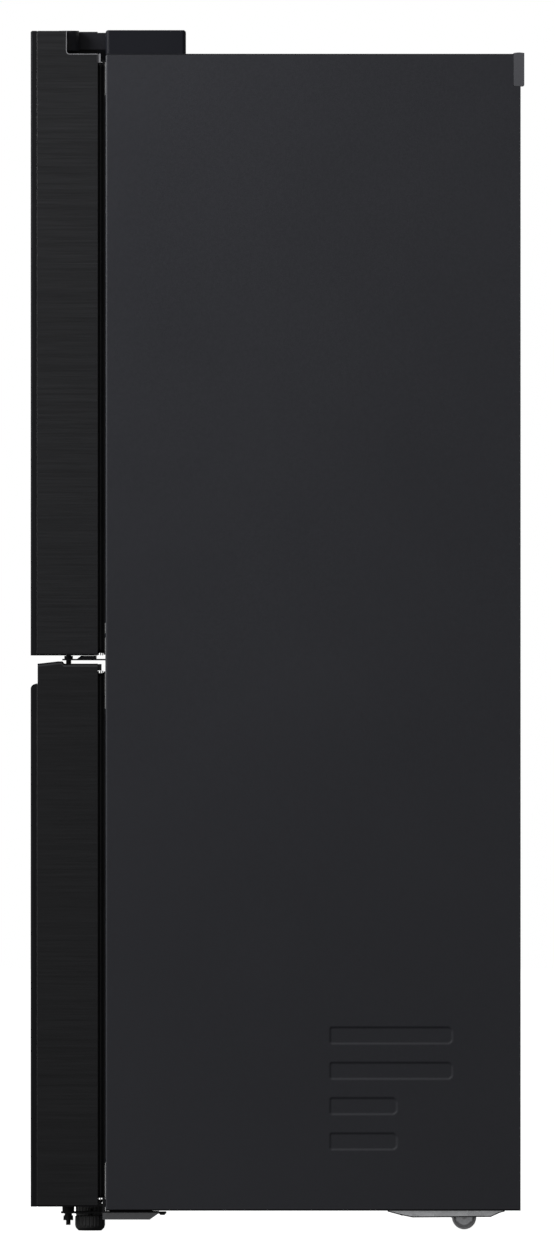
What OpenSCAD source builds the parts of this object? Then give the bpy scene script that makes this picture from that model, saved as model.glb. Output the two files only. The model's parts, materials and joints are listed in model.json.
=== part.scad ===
// Four-door french door refrigerator, millimetres, +Z up, doors face -Y.
// Origin: bottom centre of the bounding box, on the floor.

/* [Overall] */
// Width over the cabinet and over the doors
body_w = 835; // [700:1:950]
// Depth from the door fronts to the wall spacers
total_d = 734; // [650:1:850]
// Height of the cabinet's top sheet above the floor
case_top = 1750; // [1500:1:1900]
// Height of the lower edge of the side sheets
case_bottom = 30; // [25:1:60]
// Thickness of the cabinet's steel sheet
sheet = 1.2; // [0.8:0.1:2]

/* [Doors] */
// Thickness of a door from its front to its inner face
door_t = 99.6; // [60:0.1:120]
// Depth of the separate front panel of a door
panel_t = 9; // [6:0.5:15]
// Bottom of the upper doors
upper_z0 = 855.5; // [800:0.5:1000]
// Top of the upper doors
upper_z1 = 1784; // [1500:0.5:1900]
// Bottom of the lower doors
lower_z0 = 36; // [30:0.5:80]
// Rear top of the lower doors
lower_z1 = 843.2; // [780:0.1:990]
// Top of the lower doors' front panel
lower_panel_top = 813; // [760:0.5:960]
// Gap between the left and the right doors
centre_gap = 6; // [4:0.5:12]
// Inset of the hinge axis from the side of the door
axis_inset = 25; // [18:0.5:35]
// Distance of the hinge axis behind the door fronts
axis_back = 56; // [40:0.5:70]
// Radius of the hinge pins in the door caps
pin_r = 3.4; // [3:0.1:6]
// Radial clearance of the running fits
fit = 0.08; // [0.02:0.01:0.1]

/* [Interior] */
// Half width of the fridge compartment
room_x = 372; // [300:1:380]
// Floor of the fridge compartment
room_z0 = 880; // [860:1:950]
// Ceiling of the fridge compartment
room_z1 = 1700; // [1500:1:1720]
// Thickness of the plastic liners
liner_t = 2; // [1.5:0.1:4]
// Floor of the freezer compartments
cold_z0 = 85; // [60:1:120]
// Ceiling of the freezer compartments
cold_z1 = 815; // [700:1:820]
// Half width of the wall between the freezer compartments
wall_x = 25; // [20:1:40]
// Wall thickness of the drawers and door bins
tray_t = 3; // [2:0.1:4]

/* [Ribs] */
// Height of one pressed rib in the side sheet
rib_h = 24; // [15:1:35]
// Distance between neighbouring ribs
rib_pitch = 52.5; // [40:0.1:60]
// Depth of the pressed ribs
rib_depth = 1; // [0.6:0.2:4]

/* [Hidden] */
half_w = body_w / 2;
door_y0 = -total_d / 2;
door_y1 = door_y0 + door_t;
panel_y1 = door_y0 + panel_t;
skin_y0 = panel_y1 + 1.4;
case_y0 = door_y1 + 11.6;
case_y1 = total_d / 2 - 5.5;
frame_y = case_y0 + sheet;
foam_y0 = frame_y + 4.5;
axis_x = half_w - axis_inset;
axis_y = door_y0 + axis_back;
free_x = centre_gap / 2;
gap = 0.3;
skin_t = 1.5;
rim = 1.3;
foot_rim = 2.6;
top_rim = 4.6;
plug = 2.2;
top_cap_z = upper_z1 - 47.5;
low_cap_z = upper_z0 + 34.5;
grip_cap_z = 788;
foot_cap_z = lower_z0 + 24;
notch_z = case_top;
cover_z = upper_z1 + 1.2;
liner_back = 300;
cold_back = 292;
cold_step_y = 90;
cold_step_z = 350;
bay_y0 = 150;
shelf_z = [1069, 1275, 1485];
bay_z1 = 300;
back_y = case_y1 - 4.8;
cover_y = case_y1 - 2.6;
foam_back = back_y - sheet - gap;
hem = 8;
lip_y = case_y0 - 5.7;
leaf_z0 = 848.2;
leaf_z1 = 850.4;
upper_dike_x = 69;
lower_dike_x = 30;
mullion_x = 48.5;
mullion_y = case_y0 + 3.6;
mullion_r = 2.2;
mullion_z0 = 890;
mullion_z1 = 1690;
step_x = 340;
dike_x1 = axis_x - 36;
bin_x1 = axis_x - 54;
bracket_z0 = 25.6;
bracket_z1 = 28.6;
foot_x = 384;
foot_y = -278.6;
foot_top = 22.2;
black = [0.13, 0.13, 0.14];
dark = [0.09, 0.09, 0.1];
white = [0.9, 0.91, 0.92];
clear = [0.75, 0.85, 0.9, 0.5];
steel = [0.7, 0.71, 0.72];
grey = [0.45, 0.46, 0.47];
foam = [0.93, 0.86, 0.65];

// ---------- helpers ----------

module box(a, b) {
    translate(a)
        cube(b - a);
}

module along_x(x0, x1) {
    translate([x0, 0, 0])
        rotate([90, 0, 90])
            linear_extrude(x1 - x0)
                children();
}

module along_y(y0, y1) {
    translate([0, y1, 0])
        rotate([90, 0, 0])
            linear_extrude(y1 - y0)
                children();
}

module along_z(z0, z1) {
    translate([0, 0, z0])
        linear_extrude(z1 - z0)
            children();
}

module both_sides() {
    children();
    mirror([1, 0, 0])
        children();
}

module rect2(a, b) {
    translate(a)
        square(b - a);
}

module rrect(a, b, r) {
    rect2([a.x + r, a.y], [b.x - r, b.y]);
    rect2([a.x, a.y + r], [b.x, b.y - r]);
    for (x = [a.x + r, b.x - r], y = [a.y + r, b.y - r])
        translate([x, y])
            circle(r = r, $fn = 48);
}

module ring2(a, b, t, r) {
    difference() {
        rrect(a, b, r);
        rrect(a + [t, t], b - [t, t], max(r - t, 1));
    }
}

// Rounded front corners only, seen from above
module front_round(a, b, r) {
    rect2([a.x + r, a.y], [b.x - r, b.y]);
    rect2([a.x, a.y + r], b);
    for (x = [a.x + r, b.x - r])
        translate([x, a.y + r])
            circle(r = r, $fn = 48);
}

// Open-topped tray with rounded upright corners
module tray(a, b, r, t) {
    difference() {
        along_z(a.z, b.z)
            rrect([a.x, a.y], [b.x, b.y], r);
        along_z(a.z + t, b.z + 1)
            rrect([a.x + t, a.y + t], [b.x - t, b.y - t], r - t);
    }
}

// Step in a liner's side wall beside the drawers, seen from the front
module side_step(z0, z1) {
    intersection() {
        rrect([step_x - 40, z0 - 1], [room_x + 1, z1 + 40], 12);
        rect2([step_x, z0 - 1], [room_x + 1, z1]);
    }
}

// ---------- cabinet ----------

module rib2(y0, y1, z1, grow) {
    z0 = z1 - rib_h;
    rect2([y0 + 3, z0 - grow], [y1 - 7, z1 + grow]);
    rect2([y0 - grow, z0 + 3], [y0 + 6, z1 - 3]);
    rect2([y1 - 10, z0 + 7], [y1 + grow, z1 - 7]);
    for (z = [z0 + 3, z1 - 3])
        translate([y0 + 3, z])
            circle(r = 3 + grow, $fn = 48);
    for (z = [z0 + 7, z1 - 7])
        translate([y1 - 7, z])
            circle(r = 7 + grow, $fn = 64);
}

module ribs(x0, x1, grow) {
    for (i = [0 : 3])
        along_x(x0, x1)
            rib2(78.4, i < 2 ? 259.8 : 177.4, 302.5 - i * rib_pitch, grow);
}

module case_block(inset, y0, y1, r, z0) {
    intersection() {
        along_y(y0, y1)
            rrect([-half_w + inset, -50], [half_w - inset, case_top - inset], r);
        along_z(z0, case_top)
            front_round([-half_w + inset, y0], [half_w - inset, y1], r);
    }
}

module cabinet_wrapper() {
    color(black) {
        difference() {
            case_block(0, case_y0, case_y1, 3.2, case_bottom);
            difference() {
                case_block(sheet, case_y0 + sheet, case_y1 + 1, 2, case_bottom - 1);
                both_sides()
                    ribs(half_w - sheet - rib_depth, half_w, sheet);
            }
            box([-half_w + 12, case_y0 - 1, 0],
                [half_w - 12, case_y0 + 3, case_top - 12]);
            both_sides()
                ribs(half_w - rib_depth, half_w + 1, 0);
            both_sides()
                box([half_w - 32.8, 350.7, 1701.7], [half_w + 1, 370, case_top + 1]);
        }
    }
}

module back_panel() {
    color(grey)
        difference() {
            along_y(back_y - sheet, back_y)
                rect2([-half_w + 2.2, bay_z1 + 2], [half_w - 2.2, case_top - 2.2]);
            both_sides()
                box([half_w - 32.8, 350, 1701.7], [half_w, 370, case_top]);
            for (i = [-2 : 2])
                along_y(back_y - 0.4, back_y + 1)
                    rrect([-330 + 150 * (i + 2) - 30, 500],
                          [-330 + 150 * (i + 2) + 30, 1560], 12);
        }
}

module bottom_panel() {
    x1 = room_x + liner_t;
    color(steel) {
        box([-half_w + 4.6, frame_y + 2, case_bottom],
            [half_w - 4.6, bay_y0, case_bottom + sheet]);
        along_x(-x1, x1) {
            rect2([bay_y0 - sheet, case_bottom], [bay_y0, bay_z1 + sheet]);
            rect2([bay_y0 - sheet, bay_z1], [foam_back, bay_z1 + sheet]);
        }
    }
}

module front_frame() {
    color(dark)
        difference() {
            box([-half_w + 3.6, frame_y, case_bottom],
                [half_w - 3.6, frame_y + 1.5, case_top - 3.6]);
            along_y(frame_y - 1, frame_y + 3)
                rrect([-room_x, room_z0], [room_x, room_z1], 12);
            both_sides()
                along_y(frame_y - 1, frame_y + 3)
                    rrect([wall_x, cold_z0], [room_x, cold_z1], 12);
            both_sides()
                box([axis_x - 21, frame_y - 1, leaf_z0 - 0.2],
                    [axis_x + 13, frame_y + 3, leaf_z1 + 0.2]);
        }
}

module foam_insulation() {
    x1 = room_x + liner_t;
    color(foam) {
        both_sides()
            box([x1 + gap, foam_y0, case_bottom + 2], [half_w - 5, 350, case_top - 2]);
        box([-x1, foam_y0, room_z1 + liner_t + gap], [x1, 350, case_top - 2]);
        box([-x1, liner_back + liner_t + gap, 818],
            [x1, foam_back, room_z1 + liner_t]);
        box([-x1, foam_y0, cold_z1 + liner_t + gap],
            [x1, liner_back + liner_t, room_z0 - liner_t - gap]);
        box([-wall_x + liner_t + gap, foam_y0, cold_z0],
            [wall_x - liner_t - gap, cold_step_y + liner_t, cold_z1 + liner_t]);
        box([-wall_x + liner_t + gap, cold_step_y + liner_t + gap, cold_step_z],
            [wall_x - liner_t - gap, cold_back, cold_z1 + liner_t]);
        box([-x1, foam_y0, case_bottom + 2], [x1, cold_step_y, cold_z0 - liner_t - gap]);
        box([-x1, cold_step_y + liner_t + gap, case_bottom + 2],
            [x1, bay_y0 - 1.5, bay_z1 + 1.5]);
        both_sides()
            box([wall_x - liner_t, cold_step_y + liner_t + gap, bay_z1 + 2],
                [x1, foam_back, cold_step_z - liner_t - gap]);
        both_sides()
            box([wall_x - liner_t, cold_back + liner_t + gap, cold_step_z],
                [x1, foam_back, cold_z1 + liner_t]);
    }
}

module fridge_liner() {
    y0 = frame_y + 1.6;
    color(white)
        difference() {
            union() {
                difference() {
                    along_y(y0, liner_back + liner_t)
                        rrect([-room_x - liner_t, room_z0 - liner_t],
                              [room_x + liner_t, room_z1 + liner_t], 14);
                    along_y(y0 - 1, liner_back)
                        rrect([-room_x, room_z0], [room_x, room_z1], 12);
                }
                both_sides()
                    for (z = shelf_z)
                        box([room_x - 6, -140, z - 6], [room_x + 1, 290, z]);
                both_sides()
                    along_y(-146, 262)
                        side_step(room_z0, 1062);
            }
            for (i = [0 : 5])
                box([-200 + i * 68, liner_back - 1, room_z0 + 30],
                    [-170 + i * 68, liner_back + 0.8, room_z0 + 34]);
        }
}

module freezer_liners() {
    y0 = frame_y + 1.6;
    color(white)
        both_sides() {
            difference() {
                union() {
                    along_y(y0, cold_step_y + liner_t)
                        rrect([wall_x - liner_t, cold_z0 - liner_t],
                              [room_x + liner_t, cold_z1 + liner_t], 14);
                    along_y(0, cold_back + liner_t)
                        rrect([wall_x - liner_t, cold_step_z - liner_t],
                              [room_x + liner_t, cold_z1 + liner_t], 14);
                }
                along_y(y0 - 1, cold_step_y)
                    rrect([wall_x, cold_z0], [room_x, cold_z1], 12);
                along_y(-1, cold_back)
                    rrect([wall_x, cold_step_z], [room_x, cold_z1], 12);
            }
            for (z = [335, 600])
                box([wall_x - 0.5, -150, z - 6], [wall_x + 9, 85, z]);
            along_y(-146, cold_step_y + 1)
                side_step(cold_z0, 606);
            for (z = [335, 600])
                box([step_x - 11, -150, z - 6], [step_x + 1, 85, z]);
        }
}

// ---------- hinges and hardware ----------

module hinge_covers() {
    color(dark)
        both_sides()
            difference() {
                union() {
                    difference() {
                        intersection() {
                            along_z(case_top + 0.1, cover_z)
                                rrect([322, case_y0 + 0.3], [411, -136], 6);
                            along_x(320, 412)
                                rrect([case_y0 + 0.3, case_top - 20], [-136, cover_z], 4);
                        }
                        along_z(case_top - 1, cover_z - 1.6)
                            rrect([324.4, case_y0 + 2.7], [408.6, -138.4], 4);
                    }
                    translate([340, -150, cover_z - 7.4])
                        cylinder(r = 7, h = 7, $fn = 48);
                }
                box([363.5, case_y0 - 1, case_top - 1],
                    [382.5, case_y0 + 5, upper_z1 - 1.6]);
                translate([340, -150, cover_z - 2.4])
                    cylinder(r = 4.2, h = 4, $fn = 40);
            }
}

module top_hinges() {
    color(dark)
        both_sides() {
            difference() {
                union() {
                    translate([axis_x, axis_y, notch_z + 5])
                        cylinder(r = 16, h = 29.5, $fn = 64);
                    box([axis_x - 27, axis_y + 4, notch_z + 7],
                        [axis_x - 11.5, axis_y + 16, notch_z + 31.5]);
                    box([axis_x - 27, axis_y + 14, notch_z + 7],
                        [axis_x - 11.5, -240, upper_z1 - 2]);
                }
                translate([axis_x, axis_y, notch_z + 32.5])
                    cylinder(r = 9, h = 5, $fn = 48);
            }
            translate([axis_x, axis_y, notch_z - 7.4])
                cylinder(r = pin_r + 1, h = 14, $fn = 48);
            translate([axis_x, axis_y, notch_z + 0.4])
                cylinder(r = 6.5, h = 5, $fn = 48);
            difference() {
                box([axis_x - 60, -249, case_top + 0.1], [axis_x + 14, -145, case_top + 4]);
                for (y = [-225, -165], x = [axis_x - 45, axis_x - 2])
                    translate([x, y, case_top - 1])
                        cylinder(r = 3.2, h = 8, $fn = 32);
            }
            box([axis_x - 27, -242, case_top + 3], [axis_x - 11.5, -215, upper_z1 - 2]);
        }
}

module mid_hinges() {
    color(steel)
        both_sides() {
            along_z(leaf_z0, leaf_z1) {
                rect2([axis_x - 9, axis_y], [axis_x + 9, -290]);
                rect2([axis_x - 20, -272], [axis_x + 12, frame_y + 4]);
                translate([axis_x, axis_y])
                    circle(r = 9, $fn = 64);
            }
            along_x(axis_x - 12, axis_x + 10)
                polygon([[-302, leaf_z0], [-302, leaf_z1], [-298, leaf_z1],
                         [-292, upper_z0 - 0.4], [-269, upper_z0 - 0.4], [-269, leaf_z0]]);
            box([axis_x - 20, frame_y + 1.8, 833], [axis_x + 12, frame_y + 4.2, 865]);
            translate([axis_x, axis_y, 833])
                cylinder(r = pin_r, h = 34, $fn = 48);
            translate([axis_x, axis_y, leaf_z1 - 0.2])
                cylinder(r = 6, h = upper_z0 - 0.4 - leaf_z1, $fn = 48);
        }
}

module bottom_hinges() {
    color(grey)
        both_sides() {
            difference() {
                union() {
                    along_z(bracket_z0, bracket_z1) {
                        rect2([axis_x - 30, -262], [half_w - 2.2, -176]);
                        rect2([axis_x - 30, axis_y + 12], [axis_x + 11, -260]);
                        translate([axis_x, axis_y])
                            circle(r = 11, $fn = 64);
                        rect2([axis_x - 11, axis_y], [axis_x + 11, axis_y + 14]);
                    }
                    box([axis_x - 30, -250, 28], [axis_x + 10, -185, case_bottom]);
                    along_x(half_w - 3.6, half_w - 1.4)
                        polygon([[-260, 27], [-260, 16.8], [-190, 16.8], [-177, 25.8],
                                 [-177, 27]]);
                    along_z(bracket_z0, bracket_z1)
                        rect2([half_w - 24, -178], [half_w - 6, -165]);
                }
                translate([foot_x, foot_y, bracket_z0 - 1])
                    cylinder(r = 4 + fit, h = 5, $fn = 48);
            }
            translate([axis_x, axis_y, 28])
                cylinder(r = 9, h = lower_z0 - 28.4, $fn = 48);
            translate([axis_x, axis_y, 8.5])
                cylinder(r = 3.35, h = 18, $fn = 40);
            translate([axis_x, axis_y, 15.6])
                cylinder(r = 8.4, h = 7, $fn = 6);
            translate([axis_x, axis_y, 22.4])
                cylinder(r = 5.6, h = 3.4, $fn = 48);
            box([axis_x, case_y0 - 4.6, 28], [half_w - 1.4, case_y0 - 0.2, 50]);
            translate([axis_x, axis_y, 24])
                cylinder(r = pin_r, h = 24, $fn = 48);
        }
}

module screw(p, turn, r) {
    translate(p)
        rotate(turn)
            difference() {
                union() {
                    cylinder(r = r, h = 1.2, $fn = 40);
                    translate([0, 0, 1.1])
                        cylinder(r1 = r, r2 = r * 0.7, h = 1.1, $fn = 40);
                }
                for (a = [0, 90])
                    rotate([0, 0, a])
                        translate([-r * 0.55, -0.5, 1])
                            cube([r * 1.1, 1, 2]);
            }
}

module screws() {
    color(steel)
        both_sides() {
            for (y = [-225, -165], x = [axis_x - 45, axis_x - 2])
                screw([x, y, case_top + 4], [0, 0, 0], 5);
            screw([340, -150, cover_z - 2.4], [0, 0, 0], 4);
            for (y = [-235, -195])
                screw([axis_x + 13, y, bracket_z0], [180, 0, 0], 5);
            for (z = [60, 170, 280])
                screw([half_w - 20, cover_y, z], [-90, 0, 0], 4.5);
            for (z = [420, 860, 1300, 1650])
                screw([half_w - 12, back_y, z], [-90, 0, 0], 4.5);
            screw([half_w - 15, -171, bracket_z0], [180, 0, 0], 4.5);
            for (y = [190, 315])
                screw([200, y, 20], [180, 0, 0], 5);
        }
}

module wall_spacers() {
    color(grey)
        both_sides()
            difference() {
                along_x(half_w - 32.5, half_w)
                    intersection() {
                        rrect([351, 1702], [total_d / 2, 1756], 2);
                        translate([359, 1712])
                            circle(r = 40, $fn = 96);
                    }
                for (z = [1712, 1728])
                    box([half_w - 28, 355, z], [half_w - 6, 362, z + 11]);
            }
}

// ---------- machine compartment ----------

module tray_line(t) {
    polygon([[164, 30 - t], [182, 25 - t], [201, 21.2 - t], [317, 22 - t], [330, 28 - t],
             [338, 30 - t], [338, 30], [330, 29.2], [317, 23.2], [201, 22.4], [182, 26.2],
             [164, 30]]);
}

module machine_base_plate() {
    color(steel)
        difference() {
            union() {
                along_x(-half_w + 2, half_w - 2)
                    tray_line(1.2);
                both_sides()
                    along_x(half_w - 3.2, half_w - 2)
                        polygon([[164, 30], [164, 29], [182, 24.2], [201, 20.2], [317, 21],
                                 [330, 27], [338, 29.2], [338, 30]]);
                both_sides()
                    for (x = [294, 324])
                        along_x(x, x + 2) {
                            rect2([267, 12], [291, 24]);
                            translate([279, 18])
                                circle(r = 11, $fn = 48);
                        }
            }
            both_sides()
                box([296.3, 256, 15], [323.7, 302, 40]);
            along_x(-half_w, half_w)
                translate([279, 18])
                    circle(r = 3 + fit, $fn = 48);
        }
}

module rear_rollers() {
    color(dark)
        along_x(-330, 330)
            translate([279, 18])
                circle(r = 3, $fn = 48);
    color(dark)
        both_sides()
            translate([299, 279, 18])
                rotate([0, 90, 0])
                    rotate_extrude($fn = 96)
                        polygon([[2.9, 0], [12, 0], [12, 4], [15, 4], [15, 0], [17, 0],
                                 [18, 2], [18, 20], [17, 22], [15, 22], [15, 18], [12, 18],
                                 [12, 22], [2.9, 22]]);
}

module rear_cover() {
    color(grey)
        difference() {
            union() {
                box([-half_w + 8, cover_y - sheet, 34], [half_w - 8, cover_y, bay_z1 + 18]);
                box([-half_w + 30, cover_y - 2.4, 40],
                    [half_w - 30, cover_y - 0.2, bay_z1 - 4]);
            }
            for (x = [-330 : 60 : 330], z = [70 : 16 : 250])
                along_y(case_y1 - 4, case_y1 + 3)
                    rrect([x - 24, z], [x + 24, z + 6], 2.9);
        }
}

module compressor() {
    color(dark)
        translate([200, 250, 0]) {
            translate([0, 0, 46])
                rotate_extrude($fn = 96)
                    polygon([[0, 0], [62, 0], [78, 12], [84, 34], [84, 84], [87, 86],
                             [87, 92], [84, 94], [82, 122], [66, 148], [34, 160], [0, 162]]);
            difference() {
                along_z(42, 48)
                    rrect([-95, -62], [95, 62], 14);
                for (x = [-82, 82], y = [-48, 48])
                    translate([x, y, 40])
                        cylinder(r = 5, h = 12, $fn = 32);
            }
            for (x = [-82, 82], y = [-48, 48])
                translate([x, y, 24])
                    cylinder(r = 11, h = 18.2, $fn = 40);
            translate([-70, -30, 120])
                cylinder(r = 4, h = 100, $fn = 32);
            translate([-60, 34, 130])
                cylinder(r = 3, h = 80, $fn = 32);
            along_x(76, 104)
                rrect([-30, 90], [30, 150], 8);
        }
}

module condenser() {
    color(grey) {
        for (i = [0 : 15])
            box([-190 + i * 10, 175, 50], [-188.8 + i * 10, 335, 220]);
        for (y = [200 : 36 : 308], z = [75 : 30 : 195])
            along_x(-200, -28)
                translate([y, z])
                    circle(r = 4, $fn = 32);
        box([-203, 175, 40], [-200, 335, 225]);
        box([-28, 175, 40], [-26, 335, 225]);
        for (x = [-203, -28])
            box([x, 206, 23.8], [x + 2.5, 314, 42]);
    }
}

module fan_frame() {
    color(dark)
        difference() {
            union() {
                box([-12, 160, 34], [-6, 350, 290]);
                box([-12, 204, 23.8], [-6, 316, 36]);
                for (a = [0, 60, 120])
                    translate([-6.5, 255, 150])
                        rotate([a, 0, 0])
                            box([0, -92, -4], [6, 92, 4]);
                translate([-12, 255, 150])
                    rotate([0, 90, 0])
                        cylinder(r = 24, h = 12, $fn = 64);
            }
            difference() {
                translate([-13, 255, 150])
                    rotate([0, 90, 0])
                        cylinder(r = 86, h = 7.2, $fn = 96);
                translate([-14, 255, 150])
                    rotate([0, 90, 0])
                        cylinder(r = 24, h = 20, $fn = 64);
            }
            translate([-14, 255, 150])
                rotate([0, 90, 0])
                    cylinder(r = 3 + fit, h = 30, $fn = 48);
        }
}

module condenser_fan() {
    color(white)
        translate([10, 255, 150])
            rotate([0, 90, 0]) {
                cylinder(r = 22, h = 24, $fn = 64);
                translate([0, 0, -20])
                    cylinder(r = 3, h = 22, $fn = 48);
                for (a = [0 : 72 : 288])
                    rotate([0, 0, a])
                        translate([18, 0, 12])
                            rotate([38, 0, 0])
                                along_z(-1, 1)
                                    rrect([0, -17], [58, 17], 8);
            }
}

module drain_pan() {
    color(dark)
        union() {
            tray([-370, 204, 38], [-215, 316, 76], 14, 2.5);
            for (x = [-362, -235], y = [207, 303])
                box([x, y, 23.3], [x + 12, y + 10, 39]);
        }
}

// ---------- interior fittings ----------

module air_duct_cover() {
    color(white)
        difference() {
            intersection() {
                along_y(276, liner_back - gap)
                    rrect([-75, 1092], [75, 1692], 14);
                along_z(1090, 1694)
                    front_round([-75, 276], [75, liner_back], 9);
            }
            for (z = [1130 : 90 : 1640], x = [-45, 0, 45])
                along_y(270, 283)
                    rrect([x - 16, z], [x + 16, z + 9], 4);
            box([-68, 284, 1099], [68, 310, 1685]);
        }
}

module lamp_lens() {
    color(clear) {
        along_z(room_z1 - 8, room_z1 - gap)
            rrect([-160, -170], [160, -130], 12);
        along_y(liner_back - 8, liner_back - gap)
            rrect([-230, 1400], [-205, 1640], 8);
        along_y(liner_back - 8, liner_back - gap)
            rrect([205, 1400], [230, 1640], 8);
    }
}

module shelf_glass() {
    color(clear)
        both_sides()
            for (z = shelf_z)
                box([9, -136, z + 0.2], [361, 264, z + 4.4]);
}

module shelf_frames() {
    color(white)
        both_sides()
            for (z = shelf_z) {
                difference() {
                    box([4, -142, z + 0.1], [366, 270, z + 6]);
                    box([8.8, -136.2, z - 1], [361.2, 264.2, z + 4.6]);
                    box([16, -132, z], [354, 260, z + 9]);
                }
                drop = z > shelf_z[0] ? 40 : 5.5;
                for (x = [6, 356])
                    along_x(x, x + 3)
                        polygon([[-90, z + 0.1], [274, z + 0.1], [274, z - drop],
                                 [262, z - drop], [-90, z - min(drop, 9)]]);
            }
}

module freezer_back_covers() {
    color(white)
        both_sides()
            difference() {
                box([wall_x + 4, 206, 356], [room_x - 4, 210, 800]);
                for (x = [70 : 60 : 310], z = [700, 735])
                    along_y(200, 215)
                        rrect([x, z], [x + 40, z + 8], 3.9);
                for (x = [70 : 60 : 310])
                    along_y(200, 215)
                        rrect([x, 380], [x + 40, 388], 3.9);
            }
}

module evaporator() {
    color(steel) {
        for (i = [0 : 25])
            box([-340 + i * 11, 226, 400], [-339.2 + i * 11, 280, 660]);
        for (y = [240, 266], z = [420 : 36 : 636])
            along_x(-348, -56)
                translate([y, z])
                    circle(r = 4, $fn = 24);
        box([-350, 226, 395], [-348, 280, 665]);
        box([-56, 226, 395], [-54, 280, 665]);
    }
}

// ---------- drawers ----------

module crisper() {
    difference() {
        union() {
            tray([8, -151, room_z0 + 2.6], [333, 235, 1056], 12, tray_t);
            box([6, -159, room_z0 + 4], [335, -148, 1062]);
        }
        along_x(60, 281)
            rrect([-164, 1046], [-153, 1066], 4);
    }
}

module crisper_left() {
    color(clear)
        mirror([1, 0, 0])
            crisper();
}

module crisper_right() {
    color(clear)
        crisper();
}

module freezer_drawer(z0, z1) {
    difference() {
        union() {
            tray([38, -151, z0], [325, 78, z1], 12, tray_t);
            box([29, -159, z0 - 4], [334, -152.6, z1 + 30]);
            box([36, -154, z0], [327, -148, z1 + 4]);
            difference() {
                box([28.5, -148, z1 - 3], [334.5, 78, z1]);
                box([39, -160, z1 - 9], [324, 74, z1 + 3]);
            }
        }
        along_y(-170, -140)
            rrect([99, z1 + 2], [264, z1 + 22], 8);
    }
}

module drawer_upper_left() {
    color(clear)
        mirror([1, 0, 0])
            freezer_drawer(380, 603.4);
}

module drawer_upper_right() {
    color(clear)
        freezer_drawer(380, 603.4);
}

module drawer_lower_left() {
    color(clear)
        mirror([1, 0, 0])
            freezer_drawer(110, 338.4);
}

module drawer_lower_right() {
    color(clear)
        freezer_drawer(110, 338.4);
}

// ---------- doors, drawn for the right-hand side ----------

module door_panel(z0, z1, r_top) {
    difference() {
        intersection() {
            along_z(z0, z1)
                front_round([free_x, door_y0], [half_w, panel_y1], 3);
            along_x(0, half_w + 1) {
                rect2([door_y0 + r_top, z0], [panel_y1, z1]);
                rect2([door_y0, z0], [panel_y1, z1 - r_top]);
                translate([door_y0 + r_top, z1 - r_top])
                    circle(r = r_top, $fn = 64);
            }
        }
        box([free_x + plug, door_y0 + 1.5, z0 + 10],
            [half_w - plug, panel_y1 + 1, z1 - 10]);
    }
}

// Side view of the recess for the top hinge, grown by a rim
module notch2(rim) {
    rect2([axis_y + 2.2, notch_z - rim], [door_y1 + 20, upper_z1 + 2]);
    rect2([axis_y - 2.3 - rim, notch_z + 4.5], [door_y1 + 20, upper_z1 + 2]);
    translate([axis_y + 2.2, notch_z + 4.5])
        circle(r = 4.5 + rim, $fn = 48);
}

// Side view of the lower door's top edge, lowered by a rim
module lower_top2(z0, y1, rim) {
    polygon([[skin_y0, z0], [skin_y0, lower_z1 - rim], [-327, 846.6 - rim],
             [-321, 846.6 - rim], [-318, lower_z1 - rim], [y1, lower_z1 - rim],
             [y1, z0]]);
}

module door_body(z0, z1, panel_z0, panel_z1) {
    box([free_x, skin_y0, z0], [half_w, door_y1 - 2.2, z1]);
    for (x = [free_x, half_w - hem])
        box([x, door_y1 - 2.4, z0], [x + hem, door_y1, z1]);
    for (x = [free_x, half_w - skin_t])
        along_x(x, x + skin_t)
            if (panel_z0 > 500)
                union() {
                    rect2([skin_y0, panel_z0 + foot_rim], [door_y1, z1]);
                    difference() {
                        rect2([skin_y0, z1 - 1], [door_y1 - 2.2, upper_z1 - rim]);
                        if (x > 100)
                            notch2(rim);
                    }
                }
            else
                union() {
                    rect2([skin_y0, panel_z0 + foot_rim], [door_y1, z1]);
                    lower_top2(z1 - 1, door_y1, top_rim);
                }
    box([free_x + plug + gap, door_y0 + 1.8, max(z0, panel_z0 + 10.3)],
        [half_w - plug - gap, skin_y0 + 1, min(z1, panel_z1 - 10.3)]);
}

module door_liner(z0, z1, x0, dike_z0, dike_z1) {
    x1 = dike_x1;
    box([free_x + hem + gap, door_y1 - 2, z0], [half_w - hem - gap, door_y1, z1]);
    along_y(door_y1 - 1, door_y1 + 50)
        ring2([x0, dike_z0], [x1, dike_z1], 16, 20);
    along_y(door_y1 - 1, door_y1 + 4)
        rrect([x0 + 10, dike_z0 + 10], [x1 - 10, dike_z1 - 10], 10);
}

module gasket_layer(y0, y1, w, z0, z1) {
    c = 7;
    along_y(door_y1 + y0, door_y1 + y1)
        difference() {
            rrect([free_x + 5 + c - w / 2, z0 + c - w / 2],
                  [axis_x - 2.5 - c + w / 2, z1 - c + w / 2], 9);
            rrect([free_x + 5 + c + w / 2, z0 + c + w / 2],
                  [axis_x - 2.5 - c - w / 2, z1 - c - w / 2], 4);
        }
}

module gasket(z0, z1) {
    color(dark) {
        gasket_layer(0.1, 2, 12, z0, z1);
        gasket_layer(1.8, 4, 6, z0, z1);
        gasket_layer(3.8, 5.4, 13, z0, z1);
        gasket_layer(5.2, 7, 6, z0, z1);
        gasket_layer(6.8, 8.2, 13, z0, z1);
        gasket_layer(8, 9.2, 7, z0, z1);
        gasket_layer(9, 11.3, 11, z0, z1);
    }
}

// Bearings of the flipping mullion
module mullion_lugs() {
    for (z = [mullion_z0 - 7, mullion_z1 + 1])
        difference() {
            box([mullion_x - 3.5, door_y1 - 0.5, z], [mullion_x + 3.5, mullion_y + 4, z + 6]);
            translate([mullion_x, mullion_y, z - 1])
                cylinder(r = mullion_r + fit, h = 8, $fn = 40);
        }
}

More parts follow.
